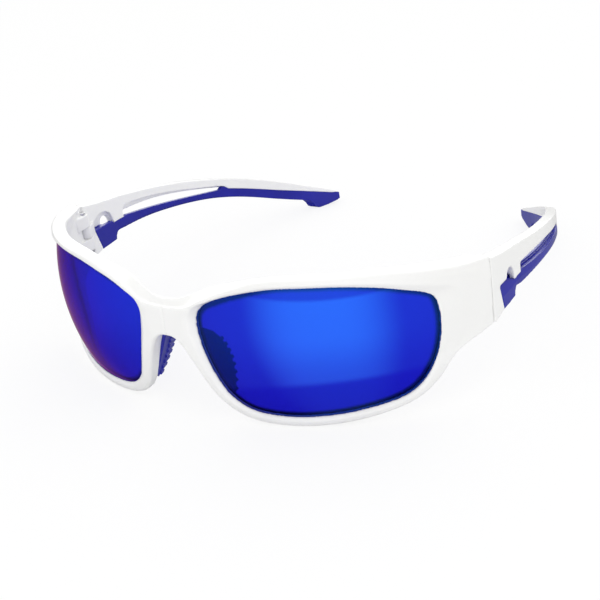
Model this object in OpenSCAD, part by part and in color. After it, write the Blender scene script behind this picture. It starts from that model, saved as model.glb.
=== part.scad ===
// Wraparound sport sunglasses: a one-piece full-rim front, two mirror lenses, two ribbed nose pads
// and two folding temples, each a moulded arm with a rubber grip under it.
// +X is the wearer's left, +Y runs back to the temple tips, +Z is up. The glasses rest as they would
// on a table, on the lower rims and the temple tips. The origin is on the table, under the middle of
// the bounding box.

/* [Lenses] */
// Radius of the front surface of each lens
lens_r = 64; // [63:0.25:65]
// Thickness of a lens
lens_t = 2; // [1.6:0.1:2.2]
// How far the edge of a lens reaches into the groove of the rim
groove = 0.9; // [0.6:0.1:1.1]
// Distance from the middle of the glasses to the centre of each lens's sphere
eye_x = 17.4; // [17:0.1:18]
// Height of that centre above the table
eye_z = 22.8; // [22.6:0.1:23]

/* [Front] */
// Y of the plane in which the front and the temples meet, from the centre of the lens spheres
seam_y = -19; // [-20:0.1:-18]
// Gap between the front and a temple at the seam
seam_gap = 0.2; // [0.1:0.05:0.4]

/* [Hinges] */
// Distance from the middle of the glasses to a hinge axis
hinge_x = 74.2; // [74:0.1:74.4]
// Outside radius of the hinge knuckles
knuckle_r = 1.9; // [1.7:0.05:1.95]
// Radius of the hinge screw's shank
screw_r = 0.7; // [0.6:0.05:0.8]
// Running clearance of the temple's knuckle on the screw
screw_play = 0.05; // [0.02:0.01:0.1]
// Height of the hinge's middle above the table
hinge_z = 30; // [29.6:0.1:30.2]
// Height of the temple's knuckle
tongue_h = 4; // [3:0.1:4.2]
// Height of each of the front's two knuckles
ear_h = 4.4; // [3.4:0.1:4.6]

/* [Temples] */
// Thickness of a temple at the hinge
arm_t_front = 4.4; // [4:0.1:4.6]
// Thickness of a temple along its slim part
arm_t = 3.2; // [2.8:0.1:3.6]
// Share of that thickness that the outer layer takes
outer_share = 0.5; // [0.4:0.05:0.6]
// Height of the notch under a temple tip
tip_hook = 3.6; // [2.5:0.1:4]

/* [Nose pads] */
// Thickness of a nose pad over its ribs
pad_t = 2.4; // [2:0.1:2.8]
// How far a nose pad reaches behind the bridge
pad_deep = 7.7; // [7:0.1:8.2]
// Distance between neighbouring ribs of a pad
rib_pitch = 2; // [1.8:0.05:2.1]
// Number of ribs on a pad
pad_ribs = 8; // [6:1:8]

/* [Hidden] */
$fn = 64;
eps = 0.01;
steps = 4;
// Y of the middle of the bounding box, from the centre of the lens spheres
centre_y = 9.6;
// Length that reaches past anything it cuts or is cut by, over the table
tall = 60;
// How far the front's knuckles reach into the front behind the seam
root = 5;
// Clearance between the temple's knuckle and each of the front's, along the axis and round it
knuckle_gap = 0.1;
pocket_gap = 0.15;
head_r = 1.25;
head_h = 0.7;
nut_r = 1.5;
nut_h = 0.9;
// Length of the open space over the screw's head and under the nut
space_l = 5;
hinge_top = hinge_z + tongue_h / 2 + knuckle_gap + ear_h;
hinge_bottom = hinge_z - tongue_h / 2 - knuckle_gap - ear_h;
// Half the width over which the bridge is flattened, and how far each half of the front crosses the middle
bridge_half = 8;
bridge_lap = 0.3;
// Distance from a lens within which the face of the bridge rises to its full height
face_rise = 6;
// How far the lips of the rim stand over the lens in front and behind, and the bevel of its outer edge
lip_front = 0.5;
lip_back = 0.6;
bevel = 0.7;
// Where a nose pad's blade stands on the back of the front, and how far it leans in and splays out
pad_at = [11.1, -59.9, 14];
pad_lean = 26.5;
pad_splay = 11;
// Length behind the seam over which a temple thins
taper = 16;
white = [0.96, 0.96, 0.95];
mirror_blue = [0.06, 0.2, 0.85];
rubber_blue = [0.1, 0.11, 0.62];
steel = [0.75, 0.76, 0.78];

// Value a share t of the way from a to b
function mix(a, b, t) = a + (b - a) * t;

// Catmull-Rom curve between p1 and p2
function bend(p0, p1, p2, p3, t) =
    0.5 * (2 * p1 + (p2 - p0) * t + (2 * p0 - 5 * p1 + 4 * p2 - p3) * t * t
    + (3 * p1 - p0 - 3 * p2 + p3) * t * t * t);

// Smooth closed curve through the points p, with n steps between neighbours
function loop(p, n) = let (m = len(p))
    [for (i = [0 : m - 1], k = [0 : n - 1])
        bend(p[(i + m - 1) % m], p[i], p[(i + 1) % m], p[(i + 2) % m], k / n)];

// Smooth open curve through the points p, with n steps between neighbours
function run(p, n) = let (m = len(p))
    concat([for (i = [0 : m - 2], k = [0 : n - 1])
        bend(p[max(i - 1, 0)], p[i], p[i + 1], p[min(i + 2, m - 1)], k / n)], [p[m - 1]]);

// X at which the lens sphere is met, eased so that the bridge runs flat across the middle
function eased(x) = x < bridge_half ? bridge_half / 2 + x * x / (2 * bridge_half) : x;

// Point at azimuth th round the left lens's centre, height z and distance r from that centre
function around(th, z, r) = let (
        rho = sqrt(r * r - (z - eye_z) * (z - eye_z)),
        x = eye_x + rho * sin(th),
        over = eased(max(x, 0)) - eye_x
    )
    [x, th < 0 ? -sqrt(rho * rho - over * over) : -rho * cos(th), z];

// Azimuth kept from crossing the middle of the bridge by more than the lap
function kept(th, z, r) = let (rho = sqrt(r * r - (z - eye_z) * (z - eye_z)))
    max(th, -asin((eye_x + bridge_lap) / rho));

// Stations round the left rim, clockwise from the top:
// [azimuth and height of the lens opening, azimuth and height of the rim's outer edge,
//  rise of the front face over the lens sphere, depth of the back face under it (negative where the
//  bridge stands wholly in front of it), rise of the back edge over the front one]
rim = [
    [20, 43.1, 20, 45.8, 1.6, 2.6, 0],
    [32, 42.5, 32.5, 45.4, 1.6, 2.6, 0],
    [42, 40.7, 44, 44.6, 1.8, 2.8, 0],
    [50, 38, 55, 42.8, 2.3, 3.2, 0],
    [54.6, 35.9, 64, 41.2, 2.8, 3.4, 0],
    [56.6, 33.6, 76, 38.6, 2.4, 2.2, 0],
    [57, 28, 79, 29.5, 0.6, 3.6, 0],
    [56.1, 21.5, 75, 20.2, 0, 3.8, 0],
    [53.7, 14.6, 61.5, 17, 0.9, 3.2, 0],
    [50, 9.4, 55.3, 9.8, 1.2, 3, 0],
    [45.5, 6.8, 49, 5, 1.4, 2.8, 0],
    [38, 5.3, 39.5, 2.2, 1.4, 2.6, 0],
    [28, 4, 28.5, 0.6, 1.4, 2.6, 0],
    [17, 3.5, 17, 0, 1.4, 2.6, 0],
    [8, 4.2, 6.5, 0.8, 1.4, 2.6, 0],
    [3.2, 6, 0.2, 3.2, 1.4, 2.8, 0],
    [-0.2, 9.4, -3.6, 7.6, 1.7, 2.9, 0],
    [-1.6, 12.2, -5.3, 11, 1.9, 3.1, 0],
    [-2.8, 15.6, -6.7, 14.6, 2, 3.4, 0],
    [-3.8, 19, -7.9, 18, 2.2, 3.7, 0],
    [-4.7, 22.4, -9.2, 21.4, 2.6, 4, 0],
    [-5.5, 26, -10.4, 24, 2.8, 4, 0],
    [-5.9, 28.4, -12, 26, 3, 3.6, 0],
    [-6.1, 30, -14, 27, 3.1, 2.8, 0],
    [-6.2, 31.5, -18, 27.3, 3.1, 2, 0.2],
    [-6.1, 33.2, -18, 31.5, 3.3, 1.2, 0.8],
    [-5.4, 35.2, -18, 35.8, 3.6, -1, 1.8],
    [-3.7, 37.2, -12.7, 36, 3.2, -0.7, 2.1],
    [-1.2, 38.7, -8.5, 36.8, 2.7, 1.5, 2.5],
    [2, 40, -4, 39.3, 2, 2.8, 2],
    [6, 41.2, 1.5, 41.8, 1.5, 3.4, 1],
    [13, 42.6, 11, 45, 1.6, 2.7, 0]
];

// Width of the rim at one station, from the lens opening to the outer edge
function rim_width(s) =
    norm(around(kept(s[2], s[3], lens_r), s[3], lens_r) - around(s[0], s[1], lens_r));

// Section of the rim at one station, as a closed ring of points
function rim_section(s) =
    let (
        wide = rim_width(s),
        rising = s[2] < 0 ? min(1, face_rise / wide) : 1,
        front = lens_r + s[4],
        back = lens_r - s[5],
        edge = lens_r - lens_t
    )
    concat(
        [opening_point(s, 0, lens_r, wide), opening_point(s, 0.15, lens_r + lip_front, wide)],
        [for (t = [0.3 * rising, 0.65 * rising, 1 - bevel / wide])
            face_point(s, t, mix(lens_r + 1.8 * lip_front, front, sqrt(min(1, t / rising))))],
        [outer_point(s, front - bevel, 0), outer_point(s, back + bevel, s[6])],
        [for (t = [1 - bevel / wide, 0.6, 0.3])
            face_point(s, t, mix(edge - 1.3 * lip_back, back, sqrt(t))) + [0, 0, s[6] * t]],
        [opening_point(s, 0.15, edge - lip_back, wide), opening_point(s, 0, edge, wide),
         opening_point(s, groove, edge, wide), opening_point(s, groove, lens_r, wide)]
    );

// Point w millimetres out from the lens opening, on the line to the centre of the lens sphere
function opening_point(s, w, r, wide) = let (
        t = w / wide,
        z = mix(s[1], s[3], t)
    )
    around(mix(s[0], kept(s[2], s[3], lens_r), t), eye_z + (z - eye_z) * r / lens_r, r);

// Point a share t of the way from the lens opening to the outer edge
function face_point(s, t, r) = let (z = mix(eye_z + (s[1] - eye_z) * r / lens_r, s[3], t))
    around(kept(mix(s[0], kept(s[2], z, r), t), z, r), z, r);

// Point on the outer edge, lifted by the height given
function outer_point(s, r, lift) = around(kept(s[2], s[3], r), s[3], r) + [0, 0, lift];

// Solid swept through a closed loop of equal rings
module ring_solid(rings) {
    n = len(rings);
    m = len(rings[0]);
    points = [for (ring = rings, p = ring) p];
    faces = [for (i = [0 : n - 1], j = [0 : m - 1]) let (
            a = i * m + j,
            b = i * m + (j + 1) % m,
            c = ((i + 1) % n) * m + (j + 1) % m,
            d = ((i + 1) % n) * m + j
        ) each [[a, b, c], [a, c, d]]];
    polyhedron(points, faces, convexity = 10);
}

// Cone from the centre of the lens sphere through the loop of points given, to well outside it
module sight_cone(edge) {
    centre = [eye_x, 0, eye_z];
    n = len(edge);
    reach = 1.25;
    ends = [for (p = edge) centre + (p - centre) * reach];
    middle = centre + (around(24, eye_z, lens_r) - centre) * reach;
    points = concat([centre, middle], ends);
    faces = [for (i = [0 : n - 1]) each [
        [0, 2 + (i + 1) % n, 2 + i],
        [1, 2 + i, 2 + (i + 1) % n]
    ]];
    polyhedron(points, faces, convexity = 4);
}

module centred() {
    translate([0, -centre_y, 0]) children();
}

module on_right() {
    mirror([1, 0, 0]) children();
}

module half_front() {
    ring_solid([for (s = loop(rim, steps)) rim_section(s)]);
}

// The two knuckles that the front carries at one seam, above and below the temple's
module front_knuckles() {
    for (z = [hinge_top - ear_h, hinge_bottom])
        translate([hinge_x, seam_y, z])
            linear_extrude(ear_h)
                union() {
                    circle(knuckle_r);
                    polygon([
                        [-knuckle_r, 0],
                        [knuckle_r, 0],
                        [knuckle_r, -root],
                        [-knuckle_r, -root]
                    ]);
                }
}

// Round space on a hinge's axis
module hinge_space(r, from, to) {
    translate([hinge_x, seam_y, from]) cylinder(r = r, h = to - from);
}

// Space for the screw's head above the knuckles and for the nut below them
module end_spaces() {
    hinge_space(head_r + pocket_gap, hinge_top, hinge_top + space_l);
    hinge_space(nut_r + pocket_gap, hinge_bottom - space_l, hinge_bottom);
}

// One half of the front with all that its hinge needs
module hinged_half() {
    difference() {
        union() {
            difference() {
                half_front();
                translate([hinge_x / 2, seam_y, 0]) cube([hinge_x, tall, tall]);
            }
            front_knuckles();
        }
        hinge_space(screw_r, hinge_bottom - 1, hinge_top + 1);
        hinge_space(knuckle_r + pocket_gap, hinge_bottom + ear_h, hinge_top - ear_h);
        end_spaces();
    }
}

module front_frame() {
    color(white) centred() union() {
        hinged_half();
        on_right() hinged_half();
    }
}

// A lens: a shell of two concentric spheres, cut out by a cone a little wider than the rim's opening
module lens() {
    edge = [for (s = loop(rim, steps)) opening_point(s, groove, lens_r, rim_width(s))];
    intersection() {
        translate([eye_x, 0, eye_z]) difference() {
            sphere(lens_r, $fn = 3 * $fn);
            sphere(lens_r - lens_t, $fn = 3 * $fn);
        }
        sight_cone(edge);
    }
}

module lens_left() {
    color(mirror_blue) centred() lens();
}

module lens_right() {
    color(mirror_blue) centred() on_right() lens();
}

// Height along a pad's blade at which it reaches furthest back, and how fast its edge curves away
// from there, upwards and downwards
pad_full = 5.5;
curve_up = 0.045;
curve_down = 0.03;

// How far behind the front the ribs of a pad reach, at a height along the blade
function pad_reach(h) =
    pad_deep - (h > pad_full ? curve_up : curve_down) * (h - pad_full) * (h - pad_full);

// A nose pad: a leaning rubber blade with ribs across its inner face, which stand out behind it as teeth
module nose_pad() {
    rib_high = 1.1;
    tooth = 0.7;
    skin = 0.5;
    ribbed = 0.55;
    top = 13;
    top_rib = 7.4;
    outline = concat(
        [[-0.6, top - 1], [-0.6, -5.2], [1, -7.8]],
        [for (h = [-7.4 : 2 : top - 1]) [pad_reach(h) - tooth, h]],
        [[pad_reach(top) - 2 * tooth, top]]
    );
    translate(pad_at) rotate([0, -pad_lean, 0]) rotate([0, 0, -pad_splay]) rotate([90, 0, 90]) {
        translate([0, 0, skin - pad_t / 2]) linear_extrude(pad_t - skin) polygon(outline);
        for (i = [0 : pad_ribs - 1]) {
            h = top_rib - rib_pitch * i;
            translate([(1 - ribbed) * pad_reach(h), h - rib_high / 2, -pad_t / 2])
                cube([ribbed * pad_reach(h), rib_high, pad_t]);
        }
    }
}

module nose_pad_left() {
    color(rubber_blue) centred() nose_pad();
}

module nose_pad_right() {
    color(rubber_blue) centred() on_right() nose_pad();
}

// Screw of a hinge, put in from above, with a slotted cheese head on the upper knuckle
module hinge_screw() {
    slot_w = 0.35;
    shank_l = hinge_top - hinge_bottom;
    translate([hinge_x, seam_y, hinge_top]) difference() {
        union() {
            cylinder(r = head_r, h = head_h);
            translate([0, 0, -shank_l]) cylinder(r = screw_r, h = shank_l + eps);
        }
        translate([-head_r - 1, -slot_w / 2, head_h / 2]) cube([2 * head_r + 2, slot_w, head_h]);
    }
}

module hinge_screw_left() {
    color(steel) centred() hinge_screw();
}

module hinge_screw_right() {
    color(steel) centred() on_right() hinge_screw();
}

// Hexagonal nut under the lower knuckle
module hinge_nut() {
    translate([hinge_x, seam_y, hinge_bottom - nut_h]) difference() {
        cylinder(r = nut_r, h = nut_h, $fn = 6);
        translate([0, 0, -1]) cylinder(r = screw_r, h = nut_h + 2);
    }
}

module hinge_nut_left() {
    color(steel) centred() hinge_nut();
}

module hinge_nut_right() {
    color(steel) centred() on_right() hinge_nut();
}

// Middle line of a temple seen from above, from the seam to the tip
temple_line = run([
    [76.8, seam_y + seam_gap], [76.9, -14], [76.9, -3], [76.3, 12], [74.2, 26],
    [70.8, 38.6], [65.8, 51], [59.2, 62.7], [50.9, 73.8], [40.4, 85.2]
], 4);

// The temple's plan between two shares of its thickness, 0 on the inner face and 1 on the outer
function temple_t(y) = mix(arm_t_front, arm_t, min(1, (y - seam_y) / taper));
function side_line(share) = let (n = len(temple_line))
    [for (i = [0 : n - 1]) let (
        along = temple_line[min(i + 1, n - 1)] - temple_line[max(i - 1, 0)],
        out = [along[1], -along[0]] / norm(along)
    ) i == 0
        ? [temple_line[0][0] + temple_t(seam_y) * (share - 0.5), temple_line[0][1]]
        : temple_line[i] + out * temple_t(temple_line[i][1]) * (share - 0.5)];
function reversed(p) = [for (i = [len(p) - 1 : -1 : 0]) p[i]];

// The part of a temple between two shares of its thickness that has the side view given, in Y and Z
module temple_layer(inner, outer, side) {
    intersection() {
        linear_extrude(tall) polygon(concat(side_line(inner), reversed(side_line(outer))));
        translate([tall / 2, 0, 0]) rotate([90, 0, 90]) linear_extrude(tall) polygon(side);
    }
}

// Side view: the top of the white arm, front to back
arm_top = run([
    [-18.8, 39.2], [-10.5, 37.1], [2.6, 34.7], [15.5, 31.9], [28.3, 28.9], [40.7, 25.3],
    [52.8, 21.1], [64.4, 16], [75.5, 9.9], [81, 6.9], [84.2, 4.6]
], 3);
// The line between arm and grip behind the window, back to front, on the inner and outer layers
joint_inner = run([[82.2, 5], [78, 6.7], [72, 9.1], [66, 11.5], [60, 14.1], [54, 16.6], [48.5, 18.7]], 2);
joint_outer = run([[82.2, 5], [78, 5.6], [72, 7.2], [66, 9.4], [60, 12], [54, 14.8], [48.5, 17.2]], 2);
// The top of the long window, back to front
window_inner = run([[46.8, 20.3], [44, 21.3], [38, 22.9], [30, 25.2], [22, 27.4], [14, 29.2], [6, 30.5]], 2);
window_outer = run([[46.8, 19.8], [44, 20.6], [38, 22.3], [30, 24.4], [22, 26.2], [14, 27.5], [6, 28.4]], 2);
// The post between the two windows, and the front panel at the seam
post_inner = [
    [2.6, 30.8], [1.4, 30.2], [0.8, 29], [0.8, 26.9], [-4.4, 26.9], [-4.8, 29.5], [-5.5, 31.2],
    [-7, 32.4], [-9, 32.9], [-12, 32.6], [-13.8, 31.4], [-14.6, 29.8], [-14.4, 28.3]
];
post_outer = [
    [1.2, 28.7], [0.2, 28.4], [0.2, 25.6], [-4.4, 25.6], [-4.8, 28.6], [-5.8, 30.2], [-7.6, 30.8],
    [-9, 30.2], [-9.8, 28.3], [-14.4, 28.3]
];
front_panel = [[-12.6, 20.4], [-18.8, 19.3]];

// The knuckle of a temple, between the front's two
module temple_knuckle() {
    translate([hinge_x, seam_y, hinge_z - tongue_h / 2]) linear_extrude(tongue_h)
        union() {
            circle(knuckle_r);
            polygon([
                [0, 0],
                [-0.8 * knuckle_r, 0.6 * knuckle_r],
                [0.2, 4.2],
                [2, 4.2],
                [2, seam_gap]
            ]);
        }
}

module temple_arm() {
    difference() {
        union() {
            difference() {
                union() {
                    temple_layer(0, 1 - outer_share,
                        concat(arm_top, joint_inner, window_inner, post_inner, front_panel));
                    temple_layer(1 - outer_share, 1,
                        concat(arm_top, joint_outer, window_outer, post_outer, front_panel));
                }
                hinge_space(knuckle_r + pocket_gap, hinge_bottom, hinge_z - tongue_h / 2);
                hinge_space(knuckle_r + pocket_gap, hinge_z + tongue_h / 2, hinge_top);
                end_spaces();
            }
            temple_knuckle();
        }
        hinge_space(screw_r + screw_play, hinge_bottom - 1, hinge_top + 1);
    }
}

module temple_arm_left() {
    color(white) centred() temple_arm();
}

module temple_arm_right() {
    color(white) centred() on_right() temple_arm();
}

// Side view of the grip's underside, tip to front, and of its tip
tip_end = [[82.2, 5], [84.2, 4.6], [84.6, 4.2], [85, 3.2], [84.6, 2.2], [83.4, 1.4], [80.8, 0.5], [78.4, 0]];
tip_notch = [[77.6, 0], [76.8, 0.6], [76.2, tip_hook - 1.2], [75.4, tip_hook], [74, tip_hook + 0.8]];
under_inner = run([
    [70, 6], [64, 8.6], [58, 11.4], [52, 14], [46, 16.2], [40, 18], [32, 19.8], [24, 21.2],
    [16, 22.4], [8, 23.2], [0, 23.7]
], 2);
under_outer = run([
    [70, 6], [64, 8.6], [58, 11.3], [52, 13.7], [46, 15.7], [40, 17.3], [32, 18.9], [24, 20.2],
    [16, 21.3], [8, 22], [0, 22.4]
], 2);
block = [[-3.6, 23.2], [-4.6, 22], [-5, 20.6], [-12.6, 20.4], [-14.4, 28.3]];
// The top of the strut under the long window, front to back
strut_inner = run([[2.2, 27.1], [10, 25.7], [20, 23.9], [30, 22], [40, 20.2], [45, 19.4]], 2);
strut_outer = run([[2.2, 26], [10, 24.7], [20, 23], [30, 21.3], [40, 19.5], [45, 18.8]], 2);
nub = [[45.8, 20.1], [46.8, 20.3]];

module temple_grip() {
    temple_layer(0, 1 - outer_share, concat(
        tip_end, tip_notch, under_inner, block,
        [[-5.2, 27.9], [-4.4, 26.9], [0.8, 26.9], [1.6, 26.9]], strut_inner, nub,
        reversed(joint_inner)
    ));
    temple_layer(1 - outer_share, 1, concat(
        tip_end, tip_notch, under_outer, block,
        [[-9.8, 28.3], [-6.4, 26.8], [-4.4, 25.6], [0.2, 25.6]], strut_outer,
        [[46.8, 18.2]], reversed(joint_outer)
    ));
}

module temple_grip_left() {
    color(rubber_blue) centred() temple_grip();
}

module temple_grip_right() {
    color(rubber_blue) centred() on_right() temple_grip();
}

front_frame();
lens_left();
lens_right();
nose_pad_left();
nose_pad_right();
hinge_screw_left();
hinge_screw_right();
hinge_nut_left();
hinge_nut_right();
temple_arm_left();
temple_arm_right();
temple_grip_left();
temple_grip_right();
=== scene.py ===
import math

import bmesh
import bpy
from mathutils import Matrix, Vector, kdtree


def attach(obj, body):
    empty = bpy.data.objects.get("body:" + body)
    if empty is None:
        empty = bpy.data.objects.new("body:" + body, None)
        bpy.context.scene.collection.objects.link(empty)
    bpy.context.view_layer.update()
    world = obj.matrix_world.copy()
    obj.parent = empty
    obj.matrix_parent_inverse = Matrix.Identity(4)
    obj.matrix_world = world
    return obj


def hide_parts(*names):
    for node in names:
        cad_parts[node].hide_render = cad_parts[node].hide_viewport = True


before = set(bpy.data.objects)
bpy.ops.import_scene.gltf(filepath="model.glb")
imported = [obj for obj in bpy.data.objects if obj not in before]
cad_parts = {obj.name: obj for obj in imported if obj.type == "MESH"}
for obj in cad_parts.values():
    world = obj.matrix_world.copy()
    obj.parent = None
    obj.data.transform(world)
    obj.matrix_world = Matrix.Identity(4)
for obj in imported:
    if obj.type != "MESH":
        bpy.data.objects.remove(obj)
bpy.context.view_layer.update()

MM = 0.001

# Camera: the direction it looks from, its roll, the point it looks at and how far that is, and the focal
# length and the width of the sensor in millimetres
AZIMUTH = 38.33
ELEVATION = 26.55
ROLL = -10.24
AIM = Vector((-13.0, 4.03, -4.3)) * MM
DISTANCE = 400 * MM
FOCAL = 68.84
SENSOR = 36

# Sphere on which each lens is moulded: centre of the left one, outside radius and thickness
LENS_CENTRE = Vector((17.4, -9.6, 22.8)) * MM
LENS_RADIUS = 64 * MM
LENS_THICKNESS = 2 * MM

# Shares of that thickness: how far from a face a vertex still belongs to it, and how far the side of the
# lens stands off both faces
FACE_REACH = 0.3
SIDE_REACH = 0.1
# Distances from a lens's side, in millimetres, between which its dark border of painted shade fades out
PAINTED_SHADE_BORDER = (1.4, 2.5)

SIDES = ("left", "right")

# Distance within which the CAD mesh's split corners are joined
WELD = 0.001 * MM
# Grid on which each kind of piece is meshed anew, and how often its corners are then smoothed
FRONT_GRID, FRONT_ROUNDS = 0.3 * MM, 8
ARM_GRID, ARM_ROUNDS = 0.25 * MM, 4
GRIP_GRID, GRIP_ROUNDS = 0.15 * MM, 4
PAD_GRID, PAD_ROUNDS = 0.15 * MM, 3
LENS_GRID = 0.4 * MM

# Y of the seam between the front and the temples, and the distances from it between which the rounding of
# corners sets in
SEAM_Y = -28.6 * MM
SEAM_ROUND_FROM = 0.4 * MM
SEAM_ROUND_TO = 1.2 * MM

# Crease along the outer face of a temple grip: its height at the front, the Y from which it falls, how
# fast it falls, how far the face above it leans in, how squarely a point must face outward to lean, from
# not at all to in full, and the Y between which the crease fades out
CREASE_Z = 24.3 * MM
CREASE_Y = -9.6 * MM
CREASE_FALL = 0.15
CREASE_LEAN = 0.2
CREASE_FACING = (0.3, 0.7)
CREASE_FADE = (18 * MM, 40 * MM)

# Even light from all round
EVEN_LIGHT = 0.97
# What gloss shows below the horizon: a bright table in front, the azimuth of its middle and the cosine of
# the angle at which it ends on either side
TABLE_LIGHT = 2.0
TABLE_AZIMUTH = 20
TABLE_EDGE = 0.72
# Shares of that light beside the table, on its near part, close to the object, and over the horizon,
# with the sines of the elevations between which each sets in
BESIDE = 0.18
NEAR = 0.6
NEAR_FROM = (-0.68, -0.26)
CLOSE = 0.2
CLOSE_FROM = (-0.72, -0.66)
OVER = 0.4
OVER_FROM = (0.04, 0.08)
# What gloss shows behind the object: the far part of the table and a window over it, the azimuth of
# their middle, the cosines between which they set in on either side, and the sines of the elevations
# between which the table ends and the window starts
FAR_TABLE = 0.2
FAR_WINDOW = 3.0
FAR_AZIMUTH = 200
FAR_EDGE = (0.1, 0.5)
FAR_TABLE_END = (-0.42, -0.2)
FAR_WINDOW_FROM = (0.02, 0.15)
# Lamps: name, azimuth and elevation in degrees, distance and size in metres, and power in watts
LAMPS = (
    ("key", 60, 60, 1.0, 1.0, 1.2),
    ("fill", -50, 45, 1.2, 1.0, 0.8),
)

# Floor: half its width in metres, its grey, and how much of it is plain white to the camera and through
# a lens
FLOOR_HALF = 3.0
FLOOR_GREY = 0.95
FLOOR_WHITE_DIRECT = 0.8
FLOOR_WHITE_THROUGH = 0.5


# Materials

def new_material(name, colour, roughness, **sockets):
    """A Principled material with the constants given on its own sockets."""
    made = bpy.data.materials.new(name)
    made.use_nodes = True
    shader = made.node_tree.nodes["Principled BSDF"]
    shader.inputs["Base Color"].default_value = (*colour, 1)
    shader.inputs["Roughness"].default_value = roughness
    for socket, value in sockets.items():
        shader.inputs[socket.replace("_", " ")].default_value = value
    made.diffuse_color = (*colour, 1)
    return made


def add_noise(made, scale, detail=4.0, stretch=(1, 1, 1)):
    """A noise in object space, with that many features a metre."""
    nodes, links = made.node_tree.nodes, made.node_tree.links
    place = nodes.new("ShaderNodeTexCoord")
    mapping = nodes.new("ShaderNodeMapping")
    mapping.inputs["Scale"].default_value = stretch
    noise = nodes.new("ShaderNodeTexNoise")
    noise.inputs["Scale"].default_value = scale
    noise.inputs["Detail"].default_value = detail
    links.new(place.outputs["Object"], mapping.inputs["Vector"])
    links.new(mapping.outputs["Vector"], noise.inputs["Vector"])
    return noise


def vary_colour(made, noise, low, high):
    """The base colour runs from low to high with the noise."""
    nodes, links = made.node_tree.nodes, made.node_tree.links
    ramp = nodes.new("ShaderNodeValToRGB")
    ramp.color_ramp.elements[0].position = 0.35
    ramp.color_ramp.elements[0].color = (*low, 1)
    ramp.color_ramp.elements[1].position = 0.65
    ramp.color_ramp.elements[1].color = (*high, 1)
    links.new(noise.outputs["Fac"], ramp.inputs["Fac"])
    links.new(ramp.outputs["Color"], nodes["Principled BSDF"].inputs["Base Color"])


def vary_roughness(made, noise, low, high):
    """The roughness runs from low to high with the noise."""
    nodes, links = made.node_tree.nodes, made.node_tree.links
    span = nodes.new("ShaderNodeMapRange")
    span.inputs["To Min"].default_value = low
    span.inputs["To Max"].default_value = high
    links.new(noise.outputs["Fac"], span.inputs["Value"])
    links.new(span.outputs["Result"], nodes["Principled BSDF"].inputs["Roughness"])


def add_bump(made, noise, strength, depth):
    """The noise as relief, depth metres deep."""
    nodes, links = made.node_tree.nodes, made.node_tree.links
    bump = nodes.new("ShaderNodeBump")
    bump.inputs["Strength"].default_value = strength
    bump.inputs["Distance"].default_value = depth
    links.new(noise.outputs["Fac"], bump.inputs["Height"])
    links.new(bump.outputs["Normal"], nodes["Principled BSDF"].inputs["Normal"])


def white_plastic():
    """Glossy moulded nylon, with a faint ripple from the mould."""
    made = new_material(
        "white_plastic", (0.9, 0.9, 0.885), 0.3,
        Specular_IOR_Level=0.35, Coat_Weight=0.15, Coat_Roughness=0.12)
    vary_colour(made, add_noise(made, 30), (0.885, 0.885, 0.87), (0.91, 0.91, 0.9))
    vary_roughness(made, add_noise(made, 400), 0.26, 0.36)
    add_bump(made, add_noise(made, 700, detail=2.0), 0.15, 0.01 * MM)
    return made


def blue_rubber():
    """Dark blue rubber, satin, with a fine grain."""
    made = new_material("blue_rubber", (0.009, 0.011, 0.31), 0.3, Specular_IOR_Level=0.42)
    vary_colour(made, add_noise(made, 60), (0.008, 0.01, 0.29), (0.011, 0.013, 0.34))
    vary_roughness(made, add_noise(made, 900), 0.26, 0.36)
    add_bump(made, add_noise(made, 4000, detail=2.0), 0.3, 0.02 * MM)
    return made


def mirror_coat():
    """Blue mirror coating on the front of a lens, which lets part of the light through."""
    made = new_material(
        "mirror_coat", (0.01, 0.7, 1.0), 0.05,
        Metallic=0.22, Transmission_Weight=1.0, IOR=1.58, Specular_Tint=(0.15, 0.5, 1, 1),
        Coat_Weight=1.0, Coat_IOR=1.03, Coat_Tint=(0.9, 0.4, 0.8, 1))
    vary_roughness(made, add_noise(made, 90), 0.03, 0.07)
    return made


def lens_tint_and_painted_shade():
    """Bare tinted polycarbonate, with painted shade for the rim groove's shadow making it nearly black
    towards its side: the back and the side of a lens.
    """
    made = new_material(
        "lens_tint_and_painted_shade", (0.004, 0.0005, 1.0), 0.05,
        Transmission_Weight=1.0, IOR=1.58, Specular_Tint=(0.3, 0.3, 1, 1))
    vary_roughness(made, add_noise(made, 90), 0.03, 0.06)
    nodes, links = made.node_tree.nodes, made.node_tree.links
    edge = nodes.new("ShaderNodeAttribute")
    edge.attribute_name = "edge"
    fade = nodes.new("ShaderNodeMapRange")
    fade.interpolation_type = "SMOOTHSTEP"
    fade.inputs["From Min"].default_value = PAINTED_SHADE_BORDER[0]
    fade.inputs["From Max"].default_value = PAINTED_SHADE_BORDER[1]
    # Painted shade: the base colour darkens to nearly black near the lens's side, where the rim's groove
    # casts its shadow
    ramp = nodes.new("ShaderNodeValToRGB")
    ramp.color_ramp.elements[0].color = (0.001, 0.0005, 0.05, 1)
    ramp.color_ramp.elements[1].color = (0.03, 0.0025, 1.0, 1)
    links.new(edge.outputs["Fac"], fade.inputs["Value"])
    links.new(fade.outputs["Result"], ramp.inputs["Fac"])
    links.new(ramp.outputs["Color"], nodes["Principled BSDF"].inputs["Base Color"])
    return made


def hinge_steel():
    """Stainless steel with turning marks."""
    made = new_material("hinge_steel", (0.8, 0.8, 0.81), 0.4, Metallic=1.0)
    vary_roughness(made, add_noise(made, 2500, stretch=(1, 1, 8)), 0.3, 0.5)
    return made


# Pieces

def copy_of(node, name):
    """A new piece with the CAD node's mesh, its split corners joined."""
    piece = bpy.data.objects.new(name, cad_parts[node].data.copy())
    bpy.context.scene.collection.objects.link(piece)
    work = bmesh.new()
    work.from_mesh(piece.data)
    bmesh.ops.remove_doubles(work, verts=work.verts, dist=WELD)
    work.to_mesh(piece.data)
    work.free()
    return piece


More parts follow.
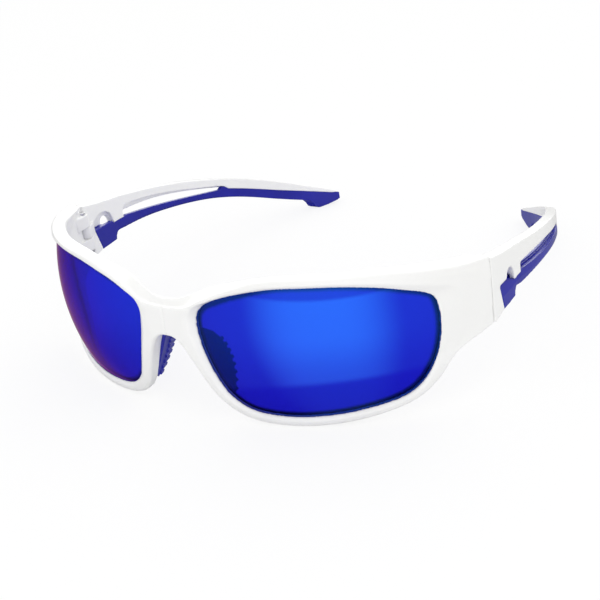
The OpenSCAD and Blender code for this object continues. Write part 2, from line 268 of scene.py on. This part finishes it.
def settle(piece):
    """Turns the piece's modifiers into its own mesh."""
    graph = bpy.context.evaluated_depsgraph_get()
    done = bpy.data.meshes.new_from_object(piece.evaluated_get(graph))
    piece.modifiers.clear()
    piece.data = done


def mesh_anew(piece, grid):
    """The piece gets an even mesh of its own shape, as fine as the grid."""
    remesh = piece.modifiers.new("even", "REMESH")
    remesh.mode = "VOXEL"
    remesh.voxel_size = grid
    settle(piece)


def dress(piece, *materials):
    """The piece gets these materials and smooth shading."""
    piece.data.materials.clear()
    for made in materials:
        piece.data.materials.append(made)
    piece.data.polygons.foreach_set("use_smooth", [True] * len(piece.data.polygons))


def moulded(node, body, name, made, grid, rounds):
    """A moulded piece: the CAD node with its corners rounded off, but for those at the seam."""
    piece = copy_of(node, name)
    mesh_anew(piece, grid)
    sharp = [vertex.co.copy() for vertex in piece.data.vertices]
    smooth = piece.modifiers.new("round", "SMOOTH")
    smooth.factor = 0.5
    smooth.iterations = rounds
    settle(piece)
    for vertex, corner in zip(piece.data.vertices, sharp):
        share = (abs(vertex.co.y - SEAM_Y) - SEAM_ROUND_FROM) / (SEAM_ROUND_TO - SEAM_ROUND_FROM)
        if share < 1:
            vertex.co = corner.lerp(vertex.co, max(0, share))
    dress(piece, made)
    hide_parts(node)
    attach(piece, body)
    return piece


def crease(piece, out):
    """The outer face of a grip leans in above the crease; out is 1 on the left and -1 on the right."""
    leaning = [vertex.normal.x * out for vertex in piece.data.vertices]
    for vertex, lean in zip(piece.data.vertices, leaning):
        place = vertex.co
        rise = place.z - CREASE_Z + CREASE_FALL * max(0, place.y - CREASE_Y)
        facing = min(1, (lean - CREASE_FACING[0]) / (CREASE_FACING[1] - CREASE_FACING[0]))
        fade = min(1, (CREASE_FADE[1] - place.y) / (CREASE_FADE[1] - CREASE_FADE[0]))
        if rise > 0 and facing > 0 and fade > 0:
            place.x -= out * CREASE_LEAN * rise * facing * fade


def mark_edge(piece, centre):
    """Each vertex gets its distance from the lens's side, in millimetres, as the attribute "edge"."""
    vertices = piece.data.vertices
    reach = SIDE_REACH * LENS_THICKNESS
    side = [v.co for v in vertices
            if LENS_RADIUS - LENS_THICKNESS + reach < (v.co - centre).length < LENS_RADIUS - reach]
    tree = kdtree.KDTree(len(side))
    for i, place in enumerate(side):
        tree.insert(place, i)
    tree.balance()
    edge = piece.data.attributes.new("edge", "FLOAT", "POINT")
    edge.data.foreach_set("value", [tree.find(v.co)[2] / MM for v in vertices])


def lens(side, coat, tint_and_shade):
    """A lens with true spherical faces, its front coated and its back bare but for painted shade along its
    side.
    """
    node = f"lens_{side}"
    centre = LENS_CENTRE.copy()
    if side == "right":
        centre.x = -centre.x
    piece = copy_of(node, f"{node}_glass")
    mesh_anew(piece, LENS_GRID)
    dress(piece, coat, tint_and_shade)
    reach = FACE_REACH * LENS_THICKNESS
    for face_radius in (LENS_RADIUS, LENS_RADIUS - LENS_THICKNESS):
        for vertex in piece.data.vertices:
            out = vertex.co - centre
            if abs(out.length - face_radius) < reach:
                vertex.co = centre + out * (face_radius / out.length)
    mark_edge(piece, centre)
    for face in piece.data.polygons:
        out = face.center - centre
        front = out.length > LENS_RADIUS - SIDE_REACH * LENS_THICKNESS and face.normal.dot(out) > 0
        face.material_index = 0 if front else 1
    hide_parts(node)
    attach(piece, "front")
    return piece


plastic = white_plastic()
rubber = blue_rubber()
coat = mirror_coat()
tint_and_shade = lens_tint_and_painted_shade()
steel = hinge_steel()

moulded("front_frame", "front", "front_shell", plastic, FRONT_GRID, FRONT_ROUNDS)
for side in SIDES:
    temple = f"temple_{side}"
    pad, arm, grip = f"nose_pad_{side}", f"temple_arm_{side}", f"temple_grip_{side}"
    lens(side, coat, tint_and_shade)
    moulded(pad, "front", f"{pad}_rubber", rubber, PAD_GRID, PAD_ROUNDS)
    moulded(arm, temple, f"{arm}_shell", plastic, ARM_GRID, ARM_ROUNDS)
    creased = moulded(grip, temple, f"{grip}_rubber", rubber, GRIP_GRID, GRIP_ROUNDS)
    crease(creased, 1 if side == "left" else -1)
    for node in (f"hinge_screw_{side}", f"hinge_nut_{side}"):
        dress(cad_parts[node], steel)


# Stage, light and camera

def direction(azimuth, elevation):
    """Unit vector towards that azimuth, 0 being in front of the object, and elevation, in degrees."""
    a, e = math.radians(azimuth), math.radians(elevation)
    return Vector((math.sin(a) * math.cos(e), -math.cos(a) * math.cos(e), math.sin(e)))


def floor():
    """A white floor that meets the background without an edge and keeps the object's shadow."""
    half = FLOOR_HALF
    corners = [(-half, -half, 0), (half, -half, 0), (half, half, 0), (-half, half, 0)]
    mesh = bpy.data.meshes.new("floor")
    mesh.from_pydata(corners, [], [(0, 1, 2, 3)])
    made = bpy.data.materials.new("floor")
    made.use_nodes = True
    nodes, links = made.node_tree.nodes, made.node_tree.links
    nodes.clear()
    lit = nodes.new("ShaderNodeBsdfDiffuse")
    lit.inputs["Color"].default_value = (FLOOR_GREY, FLOOR_GREY, FLOOR_GREY, 1)
    glow = nodes.new("ShaderNodeEmission")
    path = nodes.new("ShaderNodeLightPath")
    direct = nodes.new("ShaderNodeMath")
    direct.operation = "MULTIPLY"
    direct.inputs[1].default_value = FLOOR_WHITE_DIRECT
    share = nodes.new("ShaderNodeMath")
    share.operation = "MULTIPLY_ADD"
    share.inputs[1].default_value = FLOOR_WHITE_THROUGH
    mix = nodes.new("ShaderNodeMixShader")
    out = nodes.new("ShaderNodeOutputMaterial")
    links.new(path.outputs["Is Camera Ray"], direct.inputs[0])
    links.new(path.outputs["Is Transmission Ray"], share.inputs[0])
    links.new(direct.outputs["Value"], share.inputs[2])
    links.new(share.outputs["Value"], mix.inputs["Fac"])
    links.new(lit.outputs["BSDF"], mix.inputs[1])
    links.new(glow.outputs["Emission"], mix.inputs[2])
    links.new(mix.outputs["Shader"], out.inputs["Surface"])
    mesh.materials.append(made)
    ground = bpy.data.objects.new("floor", mesh)
    bpy.context.scene.collection.objects.link(ground)
    ground.visible_glossy = False


def background():
    """Even light from all round, a room that only gloss shows, and white to the camera and through a lens."""
    world = bpy.data.worlds.new("studio")
    world.use_nodes = True
    nodes, links = world.node_tree.nodes, world.node_tree.links
    nodes.clear()

    def node(kind, **settings):
        made = nodes.new(kind)
        for name, value in settings.items():
            setattr(made, name, value)
        return made

    def vector_math(operation, result, source, value):
        made = node("ShaderNodeVectorMath", operation=operation)
        links.new(source, made.inputs[0])
        made.inputs[1].default_value = value
        return made.outputs[result]

    def dot(source, value):
        return vector_math("DOT_PRODUCT", "Value", source, value)

    def ramp(source, low, high, dark, bright):
        made = node("ShaderNodeMapRange", interpolation_type="SMOOTHSTEP")
        links.new(source, made.inputs["Value"])
        made.inputs["From Min"].default_value = low
        made.inputs["From Max"].default_value = high
        made.inputs["To Min"].default_value = dark
        made.inputs["To Max"].default_value = bright
        return made.outputs["Result"]

    def combine(operation, first, second):
        made = node("ShaderNodeMath", operation=operation)
        links.new(first, made.inputs[0])
        if isinstance(second, (int, float)):
            made.inputs[1].default_value = second
        else:
            links.new(second, made.inputs[1])
        return made.outputs["Value"]

    place = node("ShaderNodeTexCoord")
    level = vector_math("MULTIPLY", "Vector", place.outputs["Generated"], (1, 1, 0))
    unit = vector_math("NORMALIZE", "Vector", level, (0, 0, 0))
    facing = dot(unit, direction(TABLE_AZIMUTH, 0))
    behind = dot(unit, direction(FAR_AZIMUTH, 0))
    height = dot(place.outputs["Generated"], (0, 0, 1))

    near_room = combine("MULTIPLY", ramp(facing, TABLE_EDGE, 1, BESIDE, 1), TABLE_LIGHT)
    near_room = combine("MULTIPLY", near_room, ramp(height, *NEAR_FROM, NEAR, 1))
    near_room = combine("MULTIPLY", near_room, ramp(height, *CLOSE_FROM, CLOSE, 1))
    near_room = combine("MULTIPLY", near_room, ramp(height, *OVER_FROM, 1, OVER))
    far_table = ramp(height, *FAR_TABLE_END, FAR_TABLE, 0)
    far_window = ramp(height, *FAR_WINDOW_FROM, 0, FAR_WINDOW)
    far_room = combine("MULTIPLY", combine("ADD", far_table, far_window), ramp(behind, *FAR_EDGE, 0, 1))
    shine = node("ShaderNodeBackground")
    shine.inputs["Color"].default_value = (1, 1, 1, 1)
    links.new(combine("ADD", near_room, far_room), shine.inputs["Strength"])

    path = node("ShaderNodeLightPath")
    even = node("ShaderNodeBackground")
    even.inputs["Color"].default_value = (1, 1, 1, 1)
    even.inputs["Strength"].default_value = EVEN_LIGHT
    white = node("ShaderNodeBackground")
    white.inputs["Color"].default_value = (1, 1, 1, 1)
    seen = node("ShaderNodeMath", operation="MAXIMUM")
    links.new(path.outputs["Is Camera Ray"], seen.inputs[0])
    links.new(path.outputs["Is Transmission Ray"], seen.inputs[1])
    glossy = node("ShaderNodeMixShader")
    links.new(path.outputs["Is Glossy Ray"], glossy.inputs["Fac"])
    links.new(even.outputs["Background"], glossy.inputs[1])
    links.new(shine.outputs["Background"], glossy.inputs[2])
    direct = node("ShaderNodeMixShader")
    links.new(seen.outputs["Value"], direct.inputs["Fac"])
    links.new(glossy.outputs["Shader"], direct.inputs[1])
    links.new(white.outputs["Background"], direct.inputs[2])
    out = node("ShaderNodeOutputWorld")
    links.new(direct.outputs["Shader"], out.inputs["Surface"])
    bpy.context.scene.world = world


def softbox(name, azimuth, elevation, distance, size, power):
    """A square area light that faces the object from that direction."""
    data = bpy.data.lights.new(name, "AREA")
    data.shape = "SQUARE"
    data.size = size
    data.energy = power
    lamp = bpy.data.objects.new(name, data)
    bpy.context.scene.collection.objects.link(lamp)
    back = direction(azimuth, elevation)
    lamp.location = back * distance
    lamp.rotation_mode = "QUATERNION"
    lamp.rotation_quaternion = back.to_track_quat("Z", "Y")


def camera():
    """The scene's camera, on the line through AIM, rolled about that line."""
    data = bpy.data.cameras.new("camera")
    data.lens = FOCAL
    data.sensor_width = SENSOR
    data.clip_start = 0.01
    data.clip_end = 50
    seen = bpy.data.objects.new("camera", data)
    bpy.context.scene.collection.objects.link(seen)
    back = direction(AZIMUTH, ELEVATION)
    level = Vector((0, 0, 1)).cross(back).normalized()
    rise = back.cross(level)
    r = math.radians(ROLL)
    across = level * math.cos(r) + rise * math.sin(r)
    up = rise * math.cos(r) - level * math.sin(r)
    turn = Matrix((across, up, back)).transposed().to_4x4()
    seen.matrix_world = Matrix.Translation(AIM + back * DISTANCE) @ turn
    bpy.context.scene.camera = seen


floor()
background()
for lamp in LAMPS:
    softbox(*lamp)
camera()
bpy.context.scene.view_settings.view_transform = "Standard"
